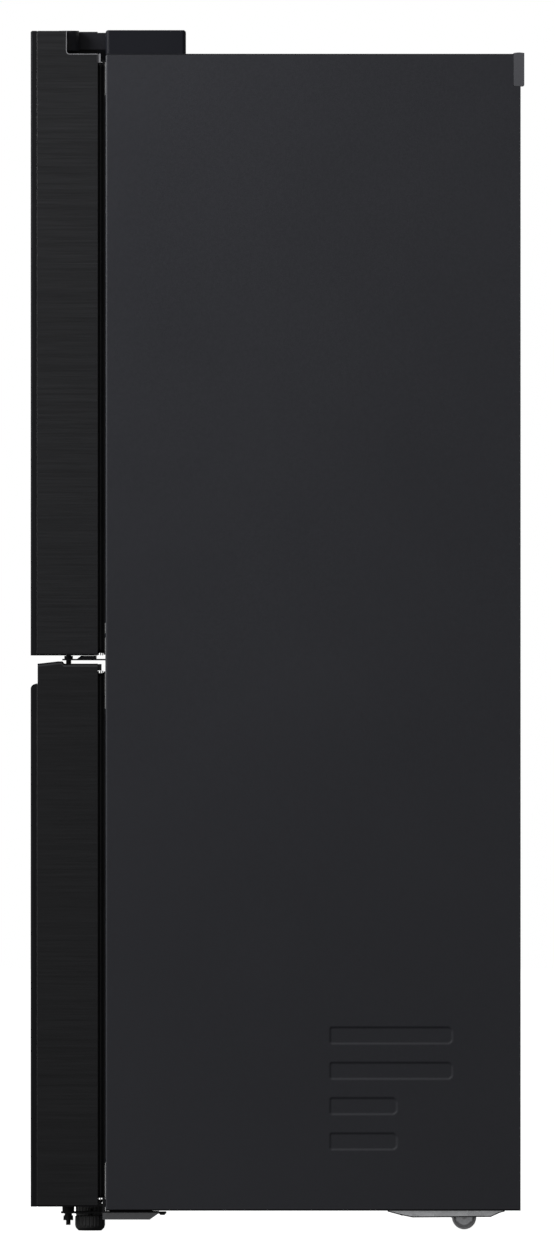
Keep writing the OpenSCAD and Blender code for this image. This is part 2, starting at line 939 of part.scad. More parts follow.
module bin(z0, h, depth, x0) {
    x1 = bin_x1;
    difference() {
        along_z(z0, z0 + h)
            union() {
                rect2([x0, door_y1 + 4.4], [x1, door_y1 + 40]);
                rrect([x0, door_y1 + 8], [x1, door_y1 + depth], 30);
            }
        along_z(z0 + tray_t, z0 + h + 1)
            union() {
                rect2([x0 + tray_t, door_y1 + 7.4], [x1 - tray_t, door_y1 + 40]);
                rrect([x0 + tray_t, door_y1 + 10], [x1 - tray_t, door_y1 + depth - tray_t],
                      30 - tray_t);
            }
        box([x0 + 8, door_y1 + 4, z0 + h * 0.5], [x1 - 8, door_y1 + 9, z0 + h + 1]);
    }
}

module cap_edges(z0, z1) {
    for (x = [[free_x + skin_t + 0.1, free_x + hem], [half_w - hem, half_w - skin_t - 0.1]])
        box([x[0], door_y1 - 2.4, z0], [x[1], door_y1, z1]);
}

module upper_caps() {
    difference() {
        union() {
            box([free_x + skin_t + 0.1, skin_y0, top_cap_z + 0.2],
                [half_w - skin_t - 0.1, door_y1, upper_z1 - 1]);
            box([free_x, skin_y0, upper_z1 - rim + 0.1], [half_w, door_y1, upper_z1]);
            along_x(half_w - 3, half_w)
                intersection() {
                    notch2(rim - 0.1);
                    rect2([skin_y0, top_cap_z], [door_y1, upper_z1]);
                }
            box([axis_x - 2, door_y1 - 2, top_cap_z + 0.2],
                [half_w - 0.4, door_y1 + 4.4, notch_z]);
            box([half_w - 3, door_y1 + 1.8, top_cap_z + 0.2], [half_w, door_y1 + 4.4, notch_z]);
        }
        translate([axis_x, axis_y, notch_z])
            cylinder(r = 17.5, h = 60, $fn = 64);
        along_x(axis_x - 29, half_w + 1)
            notch2(0);
        translate([axis_x, axis_y, notch_z - 8])
            cylinder(r = pin_r + 1 + fit, h = 30, $fn = 48);
    }
    difference() {
        union() {
            box([free_x + skin_t + 0.1, skin_y0, upper_z0],
                [half_w - skin_t - 0.1, door_y1 - 2.2, low_cap_z - 0.2]);
            box([free_x, skin_y0, upper_z0], [half_w, door_y1, upper_z0 + foot_rim - 0.1]);
            cap_edges(upper_z0, low_cap_z - 0.2);
            box([free_x + 2, door_y1 - 2.4, upper_z0], [half_w - 2, door_y1, upper_z0 + 3.8]);
        }
        along_x(40, 350) {
            rect2([-347, upper_z0 - 1], [-321, upper_z0 + 15]);
            translate([-334, upper_z0 + 15])
                circle(r = 13, $fn = 64);
        }
        translate([axis_x, axis_y, upper_z0 - 1])
            cylinder(r = pin_r + fit, h = 14, $fn = 48);
    }
}

module lower_caps() {
    difference() {
        union() {
            along_x(free_x + skin_t + 0.1, half_w - skin_t - 0.1)
                lower_top2(grip_cap_z + 0.2, door_y1, 0);
            box([axis_x - 60, door_y1 - 1, 833], [axis_x + 14, lip_y, lower_z1 - 0.6]);
            for (lip = [[0, 2.2, 0.3], [2.1, top_rim - 0.1, 0]])
                along_x(free_x + lip[2], half_w - lip[2])
                    difference() {
                        lower_top2(grip_cap_z + 9, door_y1, lip[0]);
                        lower_top2(grip_cap_z, door_y1 + 1, lip[1]);
                    }
        }
        along_x(40, 350) {
            rect2([-352, 806], [-326, 860]);
            translate([-339, 806])
                circle(r = 13, $fn = 64);
        }
        translate([axis_x, axis_y, 832.4])
            cylinder(r = pin_r + fit, h = 30, $fn = 48);
    }
    difference() {
        union() {
            box([free_x + skin_t + 0.1, skin_y0, lower_z0],
                [half_w - skin_t - 0.1, door_y1 - 2.2, foot_cap_z - 0.2]);
            box([free_x, skin_y0, lower_z0], [half_w, door_y1, lower_z0 + foot_rim - 0.1]);
            cap_edges(lower_z0, foot_cap_z - 0.2);
            box([free_x + 2, door_y1 - 2.4, lower_z0], [half_w - 2, door_y1, lower_z0 + 7.5]);
            box([axis_x - 60, door_y1 - 1, lower_z0],
                [axis_x + 2, case_y0 - 5.1, lower_z0 + 7.5]);
        }
        translate([axis_x, axis_y, lower_z0 - 1])
            cylinder(r = pin_r + fit, h = 14, $fn = 48);
    }
}

module right_door(what, upper) {
    z0 = upper ? upper_z0 : lower_z0;
    z1 = upper ? upper_z1 : lower_z1;
    if (what == "panel")
        door_panel(z0, upper ? z1 : lower_panel_top, upper ? 3 : 7.5);
    if (what == "body")
        door_body(upper ? low_cap_z : foot_cap_z, upper ? top_cap_z : grip_cap_z,
                  z0, upper ? z1 : lower_panel_top);
    if (what == "caps" && upper)
        upper_caps();
    if (what == "caps" && !upper)
        lower_caps();
    if (what == "liner" && upper)
        door_liner(z0 + 4, top_cap_z, upper_dike_x, 905, 1690);
    if (what == "liner" && !upper)
        door_liner(z0 + 7.8, grip_cap_z, lower_dike_x, 100, 775);
    if (what == "gasket" && upper)
        gasket(z0 - 0.3, 1742);
    if (what == "gasket" && !upper)
        gasket(44, 833);
    if (what == "bins" && upper)
        for (z = [922, 1180, 1440])
            bin(z, z < 1000 ? 130 : 105, 92, upper_dike_x + 18);
    if (what == "bins" && !upper)
        for (z = [118, 440])
            bin(z, 110, 80, lower_dike_x + 18);
}

module left_door(what, upper) {
    mirror([1, 0, 0])
        right_door(what, upper);
}

module door_ul_liner() {
    left_door("liner", true);
    mirror([1, 0, 0])
        mullion_lugs();
}

module flip_mullion() {
    color(dark) {
        along_z(mullion_z0, mullion_z1)
            difference() {
                rrect([-52, case_y0 + 0.6], [-8.5, case_y0 + 21], 3);
                rect2([-40, case_y0 + 18], [-20, case_y0 + 22]);
            }
        translate([-mullion_x, mullion_y, mullion_z0 - 6])
            cylinder(r = mullion_r, h = mullion_z1 - mullion_z0 + 12, $fn = 40);
    }
}

// ---------- feet ----------

module foot() {
    color(dark)
        translate([foot_x, foot_y, 0])
            difference() {
                union() {
                    rotate_extrude($fn = 96)
                        polygon([[0, 0], [17, 0], [21, 4], [22.3, 8],
                                 [22.3, foot_top - 1.2], [21, foot_top], [0, foot_top]]);
                    cylinder(r = 4, h = 33, $fn = 48);
                }
                for (a = [0 : 15 : 345])
                    rotate([0, 0, a])
                        translate([22.9, 0, 6])
                            cylinder(r = 1.6, h = 20, $fn = 16);
            }
}

module foot_left() {
    mirror([1, 0, 0])
        foot();
}

module foot_right() {
    foot();
}

cabinet_wrapper();
back_panel();
bottom_panel();
front_frame();
foam_insulation();
fridge_liner();
freezer_liners();
hinge_covers();
top_hinges();
mid_hinges();
bottom_hinges();
screws();
wall_spacers();
machine_base_plate();
rear_cover();
compressor();
condenser();
drain_pan();
fan_frame();
air_duct_cover();
lamp_lens();
shelf_glass();
shelf_frames();
freezer_back_covers();
evaporator();
condenser_fan();
rear_rollers();
foot_left();
foot_right();
crisper_left();
crisper_right();
drawer_upper_left();
drawer_upper_right();
drawer_lower_left();
drawer_lower_right();
color(black) left_door("panel", true);  // door_ul_panel
color(black) left_door("body", true);  // door_ul_body
color(dark) left_door("caps", true);  // door_ul_caps
color(white) door_ul_liner();
left_door("gasket", true);  // door_ul_gasket
color(clear) left_door("bins", true);  // door_ul_bins
color(black) right_door("panel", true);  // door_ur_panel
color(black) right_door("body", true);  // door_ur_body
color(dark) right_door("caps", true);  // door_ur_caps
color(white) right_door("liner", true);  // door_ur_liner
right_door("gasket", true);  // door_ur_gasket
color(clear) right_door("bins", true);  // door_ur_bins
color(black) left_door("panel", false);  // door_ll_panel
color(black) left_door("body", false);  // door_ll_body
color(dark) left_door("caps", false);  // door_ll_caps
color(white) left_door("liner", false);  // door_ll_liner
left_door("gasket", false);  // door_ll_gasket
color(clear) left_door("bins", false);  // door_ll_bins
color(black) right_door("panel", false);  // door_lr_panel
color(black) right_door("body", false);  // door_lr_body
color(dark) right_door("caps", false);  // door_lr_caps
color(white) right_door("liner", false);  // door_lr_liner
right_door("gasket", false);  // door_lr_gasket
color(clear) right_door("bins", false);  // door_lr_bins
flip_mullion();
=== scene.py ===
"""Four-door french door refrigerator: looks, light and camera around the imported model."""
import json
import math

import bmesh
import bpy
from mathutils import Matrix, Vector


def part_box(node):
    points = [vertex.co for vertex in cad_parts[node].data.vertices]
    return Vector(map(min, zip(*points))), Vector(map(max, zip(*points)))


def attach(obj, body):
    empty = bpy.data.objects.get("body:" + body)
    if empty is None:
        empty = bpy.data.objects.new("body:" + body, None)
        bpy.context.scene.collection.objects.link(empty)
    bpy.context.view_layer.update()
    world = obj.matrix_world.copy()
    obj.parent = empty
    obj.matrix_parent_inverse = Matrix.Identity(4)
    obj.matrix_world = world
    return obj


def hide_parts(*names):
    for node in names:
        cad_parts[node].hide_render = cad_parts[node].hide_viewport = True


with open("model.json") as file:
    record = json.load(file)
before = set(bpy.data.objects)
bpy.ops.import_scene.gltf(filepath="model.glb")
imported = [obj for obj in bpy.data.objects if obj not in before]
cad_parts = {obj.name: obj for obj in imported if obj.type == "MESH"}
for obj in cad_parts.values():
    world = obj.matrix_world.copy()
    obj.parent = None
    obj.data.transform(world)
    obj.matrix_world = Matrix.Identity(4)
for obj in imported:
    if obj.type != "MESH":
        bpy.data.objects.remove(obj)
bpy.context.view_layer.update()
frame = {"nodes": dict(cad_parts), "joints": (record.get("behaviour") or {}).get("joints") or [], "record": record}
NODES = frame["nodes"]

# Corners of the main pieces in metres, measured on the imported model
SIDE_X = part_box("cabinet_wrapper")[1].x
CASE_LO, CASE_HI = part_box("cabinet_wrapper")
DOOR_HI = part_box("door_ur_body")[1]


# ---------------------------------------------------------------- materials

class Tree:
    """A small helper that wires one procedural material."""

    def __init__(self, name):
        self.mat = bpy.data.materials.new(name)
        self.mat.use_nodes = True
        self.nt = self.mat.node_tree
        self.bsdf = self.nt.nodes["Principled BSDF"]
        self.coord = self.nt.nodes.new("ShaderNodeTexCoord")

    def noise(self, scale, stretch=(1, 1, 1), detail=3.0, rough=0.5, offset=(0, 0, 0)):
        mapping = self.nt.nodes.new("ShaderNodeMapping")
        mapping.inputs["Scale"].default_value = stretch
        mapping.inputs["Location"].default_value = offset
        self.nt.links.new(self.coord.outputs["Object"], mapping.inputs["Vector"])
        tex = self.nt.nodes.new("ShaderNodeTexNoise")
        tex.inputs["Scale"].default_value = scale
        tex.inputs["Detail"].default_value = detail
        tex.inputs["Roughness"].default_value = rough
        self.nt.links.new(mapping.outputs["Vector"], tex.inputs["Vector"])
        return tex.outputs["Fac"]

    def cells(self, scale, stretch=(1, 1, 1)):
        mapping = self.nt.nodes.new("ShaderNodeMapping")
        mapping.inputs["Scale"].default_value = stretch
        self.nt.links.new(self.coord.outputs["Object"], mapping.inputs["Vector"])
        tex = self.nt.nodes.new("ShaderNodeTexVoronoi")
        tex.inputs["Scale"].default_value = scale
        self.nt.links.new(mapping.outputs["Vector"], tex.inputs["Vector"])
        sep = self.nt.nodes.new("ShaderNodeSeparateColor")
        self.nt.links.new(tex.outputs["Color"], sep.inputs["Color"])
        return sep.outputs["Red"]

    def remap(self, value, lo, hi, a=0.3, b=0.7):
        node = self.nt.nodes.new("ShaderNodeMapRange")
        node.inputs["From Min"].default_value = a
        node.inputs["From Max"].default_value = b
        node.inputs["To Min"].default_value = lo
        node.inputs["To Max"].default_value = hi
        self.nt.links.new(value, node.inputs["Value"])
        return node.outputs["Result"]

    def math(self, op, a, b):
        node = self.nt.nodes.new("ShaderNodeMath")
        node.operation = op
        for socket, v in zip(node.inputs, (a, b)):
            if isinstance(v, (int, float)):
                socket.default_value = v
            else:
                self.nt.links.new(v, socket)
        return node.outputs[0]

    def blend(self, fac, first, second):
        node = self.nt.nodes.new("ShaderNodeMix")
        node.data_type = "RGBA"
        self.nt.links.new(fac, node.inputs["Factor"])
        for socket, v in ((node.inputs[6], first), (node.inputs[7], second)):
            if isinstance(v, (tuple, list)):
                socket.default_value = (*v, 1.0)
            else:
                self.nt.links.new(v, socket)
        return node.outputs[2]

    def bump(self, parts):
        last = None
        for height, strength, distance in parts:
            node = self.nt.nodes.new("ShaderNodeBump")
            node.inputs["Strength"].default_value = strength
            node.inputs["Distance"].default_value = distance
            self.nt.links.new(height, node.inputs["Height"])
            if last is not None:
                self.nt.links.new(last, node.inputs["Normal"])
            last = node.outputs["Normal"]
        self.nt.links.new(last, self.bsdf.inputs["Normal"])

    def put(self, socket, value):
        target = self.bsdf.inputs[socket]
        if isinstance(value, (int, float)):
            target.default_value = value
        elif isinstance(value, (tuple, list)):
            target.default_value = (*value, 1.0)
        else:
            self.nt.links.new(value, target)


def shade(colour, k):
    return tuple(c * k for c in colour)


def coated_sheet(name, colour, rough, peel=0.25, mottle=0.12, spec=0.5):
    """Pre-painted cabinet sheet: faint mottling, orange peel, slow change of gloss."""
    t = Tree(name)
    slow = t.noise(3.2, detail=2.0)
    fine = t.noise(260, detail=4.0, rough=0.6)
    speck = t.noise(1400, detail=2.0)
    base = t.blend(t.remap(slow, 0, 1), shade(colour, 0.94), shade(colour, 1.07))
    base2 = t.blend(t.remap(fine, 0, 1), shade(colour, 1 - mottle), shade(colour, 1 + mottle))
    t.put("Base Color", t.blend(t.remap(speck, 0.35, 0.65), base, base2))
    t.put("Roughness", t.math("ADD", t.remap(slow, rough - 0.03, rough + 0.03),
                              t.remap(fine, -0.03, 0.03)))
    t.put("Specular IOR Level", spec)
    t.bump([(fine, peel, 0.0002), (speck, peel * 0.6, 0.00008)])
    return t.mat


def brushed_sheet(name, colour, rough, grain_axis, metal=0.55, depth=0.3, spec=0.5):
    """Dark coated steel with fine brushing along one axis ('x', 'y' or 'z')."""
    t = Tree(name)
    along = {"x": (0.012, 1, 1), "y": (1, 0.012, 1), "z": (1, 1, 0.012)}[grain_axis]
    fine = t.noise(1500, along, detail=3.0, rough=0.65)
    broad = t.noise(320, along, detail=3.0, rough=0.6, offset=(0.3, 0.1, 0.7))
    slow = t.noise(4.0, detail=2.0)
    line = t.math("ADD", t.math("MULTIPLY", fine, 0.55), t.math("MULTIPLY", broad, 0.45))
    base = t.blend(t.remap(line, 0, 1, 0.34, 0.66), shade(colour, 0.72), shade(colour, 1.3))
    t.put("Base Color", base)
    t.put("Metallic", metal)
    t.put("Specular IOR Level", spec)
    t.put("Roughness", t.math("ADD", t.remap(line, rough - 0.06, rough + 0.07, 0.34, 0.66),
                              t.remap(slow, -0.02, 0.02)))
    t.bump([(line, depth, 0.00006)])
    return t.mat


def moulded(name, colour, rough, grain=0.35, scale=900, gloss_spread=0.05, spec=0.5):
    """Injection-moulded plastic or rubber with a fine eroded grain."""
    t = Tree(name)
    slow = t.noise(7, detail=2.0)
    grain_fac = t.noise(scale, detail=3.0, rough=0.6)
    wide = t.noise(scale / 6, detail=2.0)
    base = t.blend(t.remap(slow, 0, 1), shade(colour, 0.93), shade(colour, 1.06))
    base2 = t.blend(t.remap(grain_fac, 0, 1), shade(colour, 0.9), shade(colour, 1.1))
    t.put("Base Color", t.blend(t.remap(wide, 0.3, 0.7), base, base2))
    t.put("Roughness", t.math("ADD", t.remap(slow, rough - gloss_spread, rough + gloss_spread),
                              t.remap(grain_fac, -0.03, 0.03)))
    t.put("Specular IOR Level", spec)
    t.bump([(grain_fac, grain, 0.0001)])
    return t.mat


def clear_plastic(name, colour, rough):
    t = Tree(name)
    slow = t.noise(9, detail=2.0)
    flow = t.noise(60, (1, 1, 0.15), detail=2.0)
    t.put("Base Color", t.blend(t.remap(slow, 0, 1), shade(colour, 0.96), colour))
    t.put("Roughness", t.remap(flow, rough - 0.02, rough + 0.03))
    t.put("Transmission Weight", 0.82)
    t.put("IOR", 1.45)
    t.bump([(flow, 0.08, 0.0001)])
    return t.mat


def sheet_glass(name):
    t = Tree(name)
    slow = t.noise(5, detail=2.0)
    t.put("Base Color", t.blend(t.remap(slow, 0, 1), (0.80, 0.92, 0.88), (0.86, 0.95, 0.92)))
    t.put("Roughness", t.remap(slow, 0.02, 0.05))
    t.put("Transmission Weight", 0.95)
    t.put("IOR", 1.5)
    return t.mat


def galvanised(name, colour, rough, spangle=60, contrast=0.14):
    """Zinc-coated sheet with spangle."""
    t = Tree(name)
    cell = t.cells(spangle)
    cell2 = t.cells(spangle * 2.7)
    roll = t.noise(500, (0.03, 1, 1), detail=2.0)
    base = t.blend(cell, shade(colour, 1 - contrast), shade(colour, 1 + contrast))
    base2 = t.blend(cell2, shade(colour, 1 - contrast * 0.6), shade(colour, 1 + contrast * 0.5))
    t.put("Base Color", t.blend(t.remap(roll, 0.3, 0.7), base, base2))
    t.put("Metallic", 0.95)
    t.put("Roughness", t.math("ADD", t.remap(cell, rough - 0.05, rough + 0.06, 0, 1),
                              t.remap(roll, -0.03, 0.03)))
    t.bump([(roll, 0.12, 0.00005)])
    return t.mat


def foam_look(name, colour):
    t = Tree(name)
    cell = t.cells(520)
    slow = t.noise(12, detail=3.0)
    t.put("Base Color", t.blend(t.remap(slow, 0, 1), shade(colour, 0.85), shade(colour, 1.08)))
    t.put("Roughness", t.remap(cell, 0.82, 0.95, 0, 1))
    t.bump([(cell, 0.5, 0.0006), (slow, 0.3, 0.001)])
    return t.mat


LOOKS = {
    "cabinet_paint": coated_sheet("cabinet_paint", (0.0157, 0.0164, 0.0212), 0.46, spec=0.42),
    "cabinet_top": coated_sheet("cabinet_top", (0.0150, 0.0156, 0.0196), 0.68, spec=0.12),
    "door_front_steel": brushed_sheet("door_front_steel", (0.014, 0.0143, 0.0155), 0.42, "x"),
    "door_edge_steel": brushed_sheet("door_edge_steel", (0.0070, 0.0073, 0.0087), 0.5, "z",
                                     spec=0.32),
    "door_side_steel": brushed_sheet("door_side_steel", (0.0165, 0.0169, 0.0187), 0.44, "y"),
    # Painted shade: a darker copy of the door side steel for the lower doors
    "door_low_shaded_steel": brushed_sheet("door_low_shaded_steel", (0.0134, 0.0137, 0.0151), 0.44, "y"),
    # Pale bead colour: a painted highlight in the door seams
    "seam_painted_highlight": moulded("seam_painted_highlight", (0.052, 0.052, 0.054), 0.42),
    "hinge_paint": coated_sheet("hinge_paint", (0.0085, 0.0088, 0.0115), 0.48, spec=0.18),
    "bracket_paint": coated_sheet("bracket_paint", (0.072, 0.073, 0.076), 0.45),
    "mid_bracket": coated_sheet("mid_bracket", (0.016, 0.017, 0.022), 0.45, spec=0.3),
    # Near-black copy of the bracket paint: painted shade
    "bracket_painted_shade": coated_sheet("bracket_painted_shade", (0.006, 0.006, 0.007), 0.5, spec=0.2),
    "cap_plastic": moulded("cap_plastic", (0.011, 0.011, 0.0135), 0.5),
    "cap_edge": moulded("cap_edge", (0.024, 0.0245, 0.027), 0.45),
    # Pale cap colour at the hinge notch: painted highlight
    "cap_painted_highlight": moulded("cap_painted_highlight", (0.17, 0.17, 0.18), 0.4),
    # Paler coat on the cabinet's front bend: painted highlight
    "cabinet_edge_painted_highlight": coated_sheet("cabinet_edge_painted_highlight", (0.034, 0.036, 0.042), 0.44),
    # Near-black, low-gloss bend colour: painted shade
    "bend_painted_shade": coated_sheet("bend_painted_shade", (0.0060, 0.0062, 0.0080), 0.6, spec=0.08),
    "hem_shadow": coated_sheet("hem_shadow", (0.0020, 0.0020, 0.0026), 0.6, spec=0.1),
    "cover_plastic": moulded("cover_plastic", (0.0060, 0.0065, 0.0098), 0.48, spec=0.18),
    # Near-black cap rims: painted shadow
    "cap_painted_shadow": moulded("cap_painted_shadow", (0.0020, 0.0020, 0.0026), 0.6, spec=0.12),
    # Paler copy of the gasket rubber: painted highlight
    "gasket_painted_highlight": moulded("gasket_painted_highlight", (0.020, 0.020, 0.023), 0.5, 0.2, 700),
    "gasket_rubber": moulded("gasket_rubber", (0.0045, 0.0045, 0.006), 0.62, 0.2, 700, spec=0.3),
    "grey_plastic": moulded("grey_plastic", (0.066, 0.067, 0.076), 0.55),
    "liner_plastic": moulded("liner_plastic", (0.74, 0.76, 0.78), 0.3, 0.08, 500, 0.04),
    "trim_plastic": moulded("trim_plastic", (0.66, 0.68, 0.70), 0.34, 0.15, 700, 0.04),
    "clear_plastic": clear_plastic("clear_plastic", (0.86, 0.92, 0.95), 0.08),
    "lens_plastic": moulded("lens_plastic", (0.9, 0.91, 0.92), 0.38, 0.1, 1200),
    "shelf_glass": sheet_glass("shelf_glass"),
    "foam": foam_look("foam", (0.72, 0.58, 0.30)),
    "zinc_steel": galvanised("zinc_steel", (0.46, 0.47, 0.49), 0.42),
    "base_steel": galvanised("base_steel", (0.80, 0.81, 0.83), 0.32, 80, 0.2),
    "screw_steel": galvanised("screw_steel", (0.10, 0.10, 0.105), 0.36, 400, 0.1),
    "compressor_paint": coated_sheet("compressor_paint", (0.012, 0.012, 0.013), 0.36, 0.3),
    "fin_aluminium": galvanised("fin_aluminium", (0.66, 0.67, 0.68), 0.34, 300, 0.06),
    "roller_plastic": moulded("roller_plastic", (0.80, 0.80, 0.81), 0.5),
    "foot_plastic": moulded("foot_plastic", (0.012, 0.012, 0.0125), 0.48),
}

NODE_LOOK = {p["node"]: p["material_slot"] for p in frame["record"]["subparts"]}
NODE_LOOK["machine_base_plate"] = "base_steel"
NODE_LOOK["bottom_hinges"] = "bracket_paint"
NODE_LOOK["mid_hinges"] = "mid_bracket"
NODE_LOOK["hinge_covers"] = "cover_plastic"
# Painted shade: the lower doors' sides take the darker copy of the door steel
NODE_LOOK["door_ll_body"] = NODE_LOOK["door_lr_body"] = "door_low_shaded_steel"


def dress(obj, look):
    obj.data.materials.clear()
    obj.data.materials.append(LOOKS[look])


def soften(obj, width, segments=2, angle=35, edge_look=None):
    """Small rounded edges on a hard piece, so that its edges catch the light; an edge_look, used here for painted
    shade, colours the rounded faces.
    """
    if edge_look:
        obj.data.materials.append(LOOKS[edge_look])
    flat = obj.modifiers.new("merge_coplanar", "DECIMATE")
    flat.decimate_type = "DISSOLVE"
    flat.angle_limit = math.radians(0.4)
    flat.delimit = {"NORMAL", "MATERIAL"}
    mod = obj.modifiers.new("edge", "BEVEL")
    mod.width = width
    mod.segments = segments
    mod.limit_method = "ANGLE"
    mod.angle_limit = math.radians(angle)
    mod.harden_normals = False
    mod.use_clamp_overlap = True
    if edge_look:
        mod.material = len(obj.data.materials) - 1
    even_normals(obj)


def even_normals(obj):
    mod = obj.modifiers.new("even_normals", "WEIGHTED_NORMAL")
    mod.mode = "FACE_AREA"
    mod.weight = 100
    mod.keep_sharp = True


def accent(obj, look, test):
    """A second look on the faces that pass the test, either a real finish or painted light and shade; the mesh
    itself stays as it is.
    """
    obj.data.materials.append(LOOKS[look])
    index = len(obj.data.materials) - 1
    for poly in obj.data.polygons:
        if test(poly.center, poly.normal):
            poly.material_index = index


for name, node in NODES.items():
    dress(node, NODE_LOOK[name])

# The moulded end caps show a paler edge where they meet the door's sheet sides.
# EDGE is just inside the outer face of a door; the heights bound the bands of painted shadow on the caps' rims,
# under each door and in the gap between the doors.
EDGE = SIDE_X - 0.0001
EDGE_STEP = 0.0004
SHEET_STEP = 0.0018
HINGE_Y = [j for j in frame["joints"] if j["name"] == "door_upper_right_hinge"][0]["pos_m"][1]
KNUCKLE_R = 0.008
RECESS_Z = 1.70
GASKET_Y = DOOR_HI.y
GASKET_IN = SIDE_X - 0.030
GASKET_RIB = (GASKET_Y + 0.0037, GASKET_Y + 0.0055)
GASKET_FACE = GASKET_Y + 0.0089
FOOT_RIM_Z = 0.04
LOWER_TOP_Z = 0.83
GAP_Z = 0.85
UPPER_RIM_Z = 0.86
FLANGE_Z = 0.0272
EDGE_WIDTH = 0.0006
for key in ("ul", "ur", "ll", "lr"):
    upper = key[0] == "u"
    accent(NODES[f"door_{key}_panel"], "door_edge_steel", lambda c, n: abs(n.x) > 0.7)
    accent(NODES[f"door_{key}_caps"], "cap_edge", lambda c, n: abs(c.x) > EDGE)
    # Painted shadow: near-black rims on the caps under each door and on the lower doors' top rims in the gap
    accent(NODES[f"door_{key}_caps"], "cap_painted_shadow",
           lambda c, n: abs(c.x) > EDGE and (c.z < FOOT_RIM_Z or GAP_Z < c.z < UPPER_RIM_Z))
    accent(NODES[f"door_{key}_caps"], "cap_painted_shadow",
           lambda c, n: EDGE - EDGE_STEP < abs(c.x) < EDGE and abs(n.x) > 0.7
           and LOWER_TOP_Z < c.z < GAP_Z)
    # Painted highlight: paler rubber on the gasket's outward faces at its rib and sealing face
    accent(NODES[f"door_{key}_gasket"], "gasket_painted_highlight",
           lambda c, n: abs(n.x) > 0.9 and abs(c.x) > GASKET_IN
           and (GASKET_RIB[0] < c.y < GASKET_RIB[1] or c.y > GASKET_FACE))
    if upper:
        # Painted highlight: a pale patch on the upper caps' outer face at the hinge notch
        accent(NODES[f"door_{key}_caps"], "cap_painted_highlight",
               lambda c, n: abs(c.x) > EDGE and c.y > HINGE_Y - KNUCKLE_R and c.z > RECESS_Z)

# Painted shade: the bracket is near-black above the flange, in front of the gasket rib and where set in from the
# side sheet; only the flange's outer face keeps the paler bracket paint
accent(NODES["bottom_hinges"], "bracket_painted_shade",
       lambda c, n: c.z > FLANGE_Z or c.y < GASKET_RIB[1] or abs(c.x) < SIDE_X - SHEET_STEP)

for name in ("wall_spacers", "bottom_hinges", "top_hinges"):
    soften(NODES[name], EDGE_WIDTH)
# The rounded edges of the hinge covers and door panels are painted in shade
for name in ("hinge_covers", "door_ul_panel", "door_ur_panel", "door_ll_panel", "door_lr_panel"):
    soften(NODES[name], EDGE_WIDTH, edge_look="bend_painted_shade")


# ---------------------------------------------------------------- mesh helpers

def new_mesh(name, bm, look, body, replaced=(), smooth=35):
    mesh = bpy.data.meshes.new(name)
    bm.normal_update()
    bm.to_mesh(mesh)
    bm.free()
    obj = bpy.data.objects.new(name, mesh)
    bpy.context.scene.collection.objects.link(obj)
    mesh.materials.append(LOOKS[look])
    for poly in mesh.polygons:
        poly.use_smooth = True
    if smooth is not None:
        mesh.set_sharp_from_angle(angle=math.radians(smooth))
    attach(obj, body)
    if replaced:
        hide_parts(*replaced)
    return obj


# ---------------------------------------------------------------- cabinet shell

MM = 0.001
BEND = 3.2 * MM
LIP = 12 * MM
HEM = 2 * MM
CUT_Y = CASE_HI.y - 10.8 * MM
CUT_Z = CASE_HI.z - 48.3 * MM
CUT_X = SIDE_X - 32.8 * MM
RIB_Y0 = 0.0784
RIB_LONG, RIB_SHORT = 0.2598, 0.1774
RIB_TOP, RIB_H, RIB_PITCH = 0.3025, 0.024, 0.0525
RIB_CORNERS = (0.007, 0.003)
RIB_PROFILE = ((2.8, 0), (2.1, 0.02), (1.3, 0.11), (0.6, 0.30), (0, 0.5), (-0.6, 0.70),
               (-1.3, 0.89), (-2.1, 0.98), (-2.8, 1.0))


def rib_loop(y1, z1, grow, steps=10):
    """Outline of one pressed rib: tight corners at the front, wider ones at the rear."""
    z0 = z1 - RIB_H
    pts = []
    wide, tight = RIB_CORNERS
    for cy, cz, r, start in ((y1 - wide, z0 + wide, wide, -90), (y1 - wide, z1 - wide, wide, 0),
                             (RIB_Y0 + tight, z1 - tight, tight, 90),
                             (RIB_Y0 + tight, z0 + tight, tight, 180)):
        for i in range(steps + 1):
            a = math.radians(start + 90 * i / steps)
            pts.append((cy + (r + grow) * math.cos(a), cz + (r + grow) * math.sin(a)))
    return pts


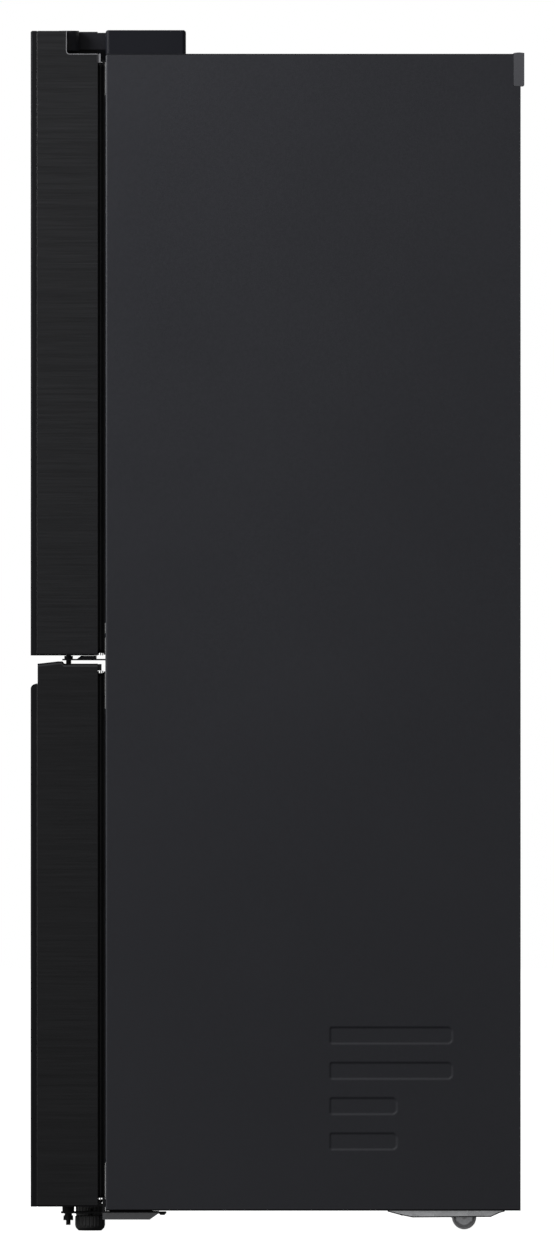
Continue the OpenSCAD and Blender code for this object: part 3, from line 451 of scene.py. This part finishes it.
def cabinet_shell():
    """Side and top sheets bent from one strip, with the ribs pressed into both sides."""
    bm = bmesh.new()
    lo, hi = CASE_LO, CASE_HI
    flat_y, flat_z = lo.y + BEND, hi.z - BEND

    def side(sign):
        x = SIDE_X * sign

        def ring(pts, depth):
            return [bm.verts.new((x - sign * depth, y, z)) for y, z in pts]

        def loop_edges(verts):
            return [bm.edges.new((verts[i], verts[(i + 1) % len(verts)]))
                    for i in range(len(verts))]

        outline = [(flat_y, lo.z + HEM), (hi.y, lo.z + HEM), (hi.y, CUT_Z), (CUT_Y, CUT_Z),
                   (CUT_Y, flat_z), (flat_y, flat_z)]
        edges = loop_edges(ring(outline, 0))
        hem = ring([(flat_y, lo.z), (hi.y, lo.z), (hi.y, lo.z + HEM), (flat_y, lo.z + HEM)], 0)
        bm.faces.new(hem)
        for i in range(4):
            y1 = RIB_LONG if i < 2 else RIB_SHORT
            z1 = RIB_TOP - i * RIB_PITCH
            before = None
            for grow, depth in RIB_PROFILE:
                loop = ring(rib_loop(y1, z1, grow * MM), depth * MM)
                if before is None:
                    edges += loop_edges(loop)
                else:
                    for k in range(len(loop)):
                        j = (k + 1) % len(loop)
                        bm.faces.new((before[k], before[j], loop[j], loop[k]))
                before = loop
            bm.faces.new(before)
        bmesh.ops.triangle_fill(bm, use_beauty=True, edges=edges)

    side(1)
    side(-1)

    # the path round the front: up one side, across the top, down the other
    steps = 6
    path = []
    for i in range(steps + 1):
        a = math.radians(90 * i / steps)
        path.append((SIDE_X - BEND + BEND * math.cos(a), flat_z + BEND * math.sin(a), True))
    rails = [(SIDE_X, lo.z, False), (SIDE_X, lo.z + HEM, False)] + path + [(CUT_X, hi.z, False)]
    rails += [(-x, z, corner) for x, z, corner in reversed(rails)]
    cx, cz = SIDE_X - BEND, flat_z

    def profile(x, z, corner):
        sign = 1 if x > 0 else -1
        if corner:
            nx, nz = (abs(x) - cx) / BEND, (z - cz) / BEND
        elif abs(x) < CUT_X + 1e-6:
            nx, nz = 0, 1
        else:
            nx, nz = 1, 0
        pts = []
        for i in range(steps + 1):
            a = math.radians(90 * i / steps)
            inward = BEND * (1 - math.cos(a))
            pts.append((sign * (abs(x) - nx * inward), lo.y + BEND * (1 - math.sin(a)),
                        z - nz * inward))
        for inward, back in ((LIP - 0.8 * MM, 0), (LIP, 0.8 * MM), (LIP, 5 * MM)):
            if corner:
                px, pz = SIDE_X - inward, hi.z - inward
            else:
                px, pz = abs(x) - nx * inward, z - nz * inward
            pts.append((sign * px, lo.y + back, pz))
        return pts

    rows = [[bm.verts.new(p) for p in profile(*rail)] for rail in rails]
    for a, b in zip(rows, rows[1:]):
        for k in range(len(a) - 1):
            bm.faces.new((a[k], b[k], b[k + 1], a[k + 1]))

    # top sheet: the rounded corners stop at the notch for the wall spacers
    tops = []
    for x, z, corner in rails[2:-2]:
        ys = [flat_y, CUT_Y]
        if abs(x) < CUT_X + 1e-6:
            ys.append(hi.y)
        tops.append([bm.verts.new((x, y, z)) for y in ys])
    for a, b in zip(tops, tops[1:]):
        for k in range(min(len(a), len(b)) - 1):
            bm.faces.new((a[k], a[k + 1], b[k + 1], b[k]))
    bmesh.ops.remove_doubles(bm, verts=bm.verts, dist=1e-6)
    bmesh.ops.dissolve_degenerate(bm, dist=1e-6, edges=bm.edges)
    bmesh.ops.recalc_face_normals(bm, faces=bm.faces)
    probe = max(bm.faces, key=lambda f: f.calc_center_median().z)
    if probe.normal.z < 0:
        bmesh.ops.reverse_faces(bm, faces=bm.faces)
    shell = new_mesh("cabinet_shell", bm, "cabinet_paint", "cabinet",
                     ("cabinet_wrapper",), 40)
    accent(shell, "cabinet_top", lambda c, n: n.z > 0.9 and c.z > hi.z - 0.5 * MM)
    # Painted shade: near-black on the top bend and the front-most strip of the front bend
    accent(shell, "bend_painted_shade", lambda c, n: abs(c.x) > SIDE_X - BEND
           and (c.z > hi.z - BEND * 0.8 or c.y < lo.y + BEND * 0.6))
    # Painted highlight: a paler strip on the side half of the front bend
    accent(shell, "cabinet_edge_painted_highlight", lambda c, n: lo.y + 0.2 * MM < c.y < lo.y + 1.9 * MM
           and abs(n.x) > 0.55 and c.z < hi.z - BEND and abs(c.x) > SIDE_X - BEND)
    accent(shell, "hem_shadow", lambda c, n: c.z < lo.z + HEM)
    thick = shell.modifiers.new("sheet", "SOLIDIFY")
    thick.thickness = 1.1 * MM
    thick.offset = -1
    thick.use_even_offset = True
    even_normals(shell)


cabinet_shell()


# ---------------------------------------------------------------- door seams

def seam(key):
    """The bead in the groove between a door's front panel and its sheet sides, pale as a painted highlight along
    the rounded sheet edge.
    """
    upper = key[0] == "u"
    sign = 1 if key[1] == "r" else -1
    panel_lo, panel_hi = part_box(f"door_{key}_panel")
    body_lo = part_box(f"door_{key}_caps")[0]
    y = (panel_hi.y + body_lo.y) / 2
    r, inset, turn = 0.68 * MM, 0.9 * MM, 2.2 * MM
    x0, x1 = panel_lo.x + inset, panel_hi.x - inset
    z0, z1 = panel_lo.z + inset, panel_hi.z - inset
    path = []
    for cx, cz, start in ((x1 - turn, z0 + turn, -90), (x1 - turn, z1 - turn, 0),
                          (x0 + turn, z1 - turn, 90), (x0 + turn, z0 + turn, 180)):
        for i in range(5):
            a = math.radians(start + 90 * i / 4)
            path.append((cx + turn * math.cos(a), cz + turn * math.sin(a),
                         math.cos(a), math.sin(a)))
    bm = bmesh.new()
    rings = []
    for x, z, nx, nz in path:
        ring = []
        for k in range(10):
            a = math.tau * k / 10
            ring.append(bm.verts.new((x + nx * r * math.cos(a), y + r * math.sin(a),
                                      z + nz * r * math.cos(a))))
        rings.append(ring)
    for i in range(len(rings)):
        a, b = rings[i], rings[(i + 1) % len(rings)]
        for k in range(10):
            j = (k + 1) % 10
            bm.faces.new((a[k], a[j], b[j], b[k]))
    bmesh.ops.recalc_face_normals(bm, faces=bm.faces)
    body = f"door_{'upper' if upper else 'lower'}_{'right' if sign > 0 else 'left'}"
    new_mesh(f"door_{key}_seam", bm, "seam_painted_highlight", body, (), 80)


for key in ("ul", "ur", "ll", "lr"):
    seam(key)


# ---------------------------------------------------------------- base plate edge

# Height of the plate's lower edge along Y, in millimetres, and the radius of its rolled bead
PLATE_EDGE = ((164, 29.3), (182, 24.5), (201, 20.6), (317, 21.4), (330, 27.3), (338, 29.5))
BEAD_R = 0.8 * MM


def plate_bead(sign, name):
    """The rolled bead along the lower edge at each end of the machine base plate, near-black as a painted shadow
    line.
    """
    x = sign * (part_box("machine_base_plate")[1].x - 0.2 * MM)
    points = [Vector((y * MM, z * MM)) for y, z in PLATE_EDGE]
    bm = bmesh.new()
    rings = []
    for i, point in enumerate(points):
        along = points[min(i + 1, len(points) - 1)] - points[max(i - 1, 0)]
        up = Vector((-along.y, along.x)).normalized()
        ring = []
        for k in range(10):
            a = math.tau * k / 10
            ring.append(bm.verts.new((x + BEAD_R * math.cos(a),
                                      point.x + up.x * BEAD_R * math.sin(a),
                                      point.y + up.y * BEAD_R * math.sin(a))))
        rings.append(ring)
    for a, b in zip(rings, rings[1:]):
        for k in range(10):
            j = (k + 1) % 10
            bm.faces.new((a[k], a[j], b[j], b[k]))
    bm.faces.new(rings[0])
    bm.faces.new(rings[-1])
    bmesh.ops.recalc_face_normals(bm, faces=bm.faces)
    new_mesh(name, bm, "hem_shadow", "cabinet", (), 50)


plate_bead(1, "base_bead_right")
plate_bead(-1, "base_bead_left")


# ---------------------------------------------------------------- stage

def stage():
    bm = bmesh.new()
    bmesh.ops.create_grid(bm, x_segments=2, y_segments=2, size=30)
    mesh = bpy.data.meshes.new("floor")
    bm.to_mesh(mesh)
    bm.free()
    floor = bpy.data.objects.new("floor", mesh)
    bpy.context.scene.collection.objects.link(floor)
    mat = bpy.data.materials.new("floor")
    mat.use_nodes = True
    bsdf = mat.node_tree.nodes["Principled BSDF"]
    bsdf.inputs["Base Color"].default_value = (0.25, 0.25, 0.25, 1)
    bsdf.inputs["Roughness"].default_value = 0.9
    bsdf.inputs["Specular IOR Level"].default_value = 0.0
    bsdf.inputs["Emission Color"].default_value = (1, 1, 1, 1)
    bsdf.inputs["Emission Strength"].default_value = 1.0
    floor.data.materials.append(mat)
    floor.visible_glossy = False
    floor.visible_diffuse = False

    scene = bpy.context.scene
    scene.view_settings.view_transform = "Standard"
    world = bpy.data.worlds.new("studio")
    scene.world = world
    world.use_nodes = True
    nt = world.node_tree
    nt.nodes.clear()
    out = nt.nodes.new("ShaderNodeOutputWorld")
    mix = nt.nodes.new("ShaderNodeMixShader")
    path = nt.nodes.new("ShaderNodeLightPath")
    plain = nt.nodes.new("ShaderNodeBackground")
    plain.inputs["Color"].default_value = (1, 1, 1, 1)
    plain.inputs["Strength"].default_value = 1.0
    soft = nt.nodes.new("ShaderNodeBackground")
    coord = nt.nodes.new("ShaderNodeTexCoord")
    dot = nt.nodes.new("ShaderNodeVectorMath")
    dot.operation = "DOT_PRODUCT"
    dot.inputs[1].default_value = Vector((0.15, -0.5, 0.85)).normalized()
    ramp = nt.nodes.new("ShaderNodeValToRGB")
    stops = ((0.0, 0.03), (0.42, 0.115), (0.5, 0.19), (0.58, 0.29), (0.75, 0.48), (1.0, 0.7))
    ramp.color_ramp.elements[0].position = stops[0][0]
    ramp.color_ramp.elements[0].color = (stops[0][1],) * 3 + (1,)
    ramp.color_ramp.elements[1].position = stops[-1][0]
    ramp.color_ramp.elements[1].color = (stops[-1][1],) * 3 + (1,)
    for pos, v in stops[1:-1]:
        ramp.color_ramp.elements.new(pos).color = (v, v, v, 1)
    half = nt.nodes.new("ShaderNodeMapRange")
    half.inputs["From Min"].default_value = -1
    half.inputs["From Max"].default_value = 1
    nt.links.new(coord.outputs["Generated"], dot.inputs[0])
    nt.links.new(dot.outputs["Value"], half.inputs["Value"])
    nt.links.new(half.outputs["Result"], ramp.inputs["Fac"])
    nt.links.new(ramp.outputs["Color"], soft.inputs["Color"])
    nt.links.new(path.outputs["Is Camera Ray"], mix.inputs["Fac"])
    nt.links.new(soft.outputs["Background"], mix.inputs[1])
    nt.links.new(plain.outputs["Background"], mix.inputs[2])
    nt.links.new(mix.outputs["Shader"], out.inputs["Surface"])

    def area(name, where, aim, size, power):
        light = bpy.data.lights.new(name, "AREA")
        light.shape = "RECTANGLE"
        light.size, light.size_y = size
        light.energy = power
        obj = bpy.data.objects.new(name, light)
        obj.location = where
        obj.rotation_euler = (Vector(aim) - Vector(where)).to_track_quat("-Z", "Y").to_euler()
        obj.visible_camera = False
        scene.collection.objects.link(obj)

    area("key", (1.7, -2.1, 2.7), (0.3, 0, 1.0), (1.2, 1.2), 93)
    area("top", (0.0, 0.0, 4.6), (0, 0, 0), (3.5, 3.5), 90)
    area("back_fill", (-2.5, 4.0, 2.4), (0, 0, 0.9), (2.5, 2.5), 45)
    area("left_fill", (-4.0, -2.0, 2.2), (0, 0, 0.9), (2.5, 2.5), 45)


# The camera stands level with the gap between the doors and the cabinet, so that it sees through
CAMERA_DISTANCE = 36.0
SLOT_Y = (DOOR_HI.y + CASE_LO.y) / 2


def camera():
    cam = bpy.data.cameras.new("camera")
    obj = bpy.data.objects.new("camera", cam)
    bpy.context.scene.collection.objects.link(obj)
    cam.sensor_fit = "AUTO"
    cam.sensor_width = 36
    cam.lens = 19.220 * CAMERA_DISTANCE
    cam.shift_y = 0.02312
    cam.clip_end = 100
    obj.location = (SIDE_X + CAMERA_DISTANCE, SLOT_Y, 0.85)
    obj.rotation_euler = (math.pi / 2, 0, math.pi / 2 + math.atan(SLOT_Y / CAMERA_DISTANCE))
    bpy.context.scene.camera = obj


stage()
camera()
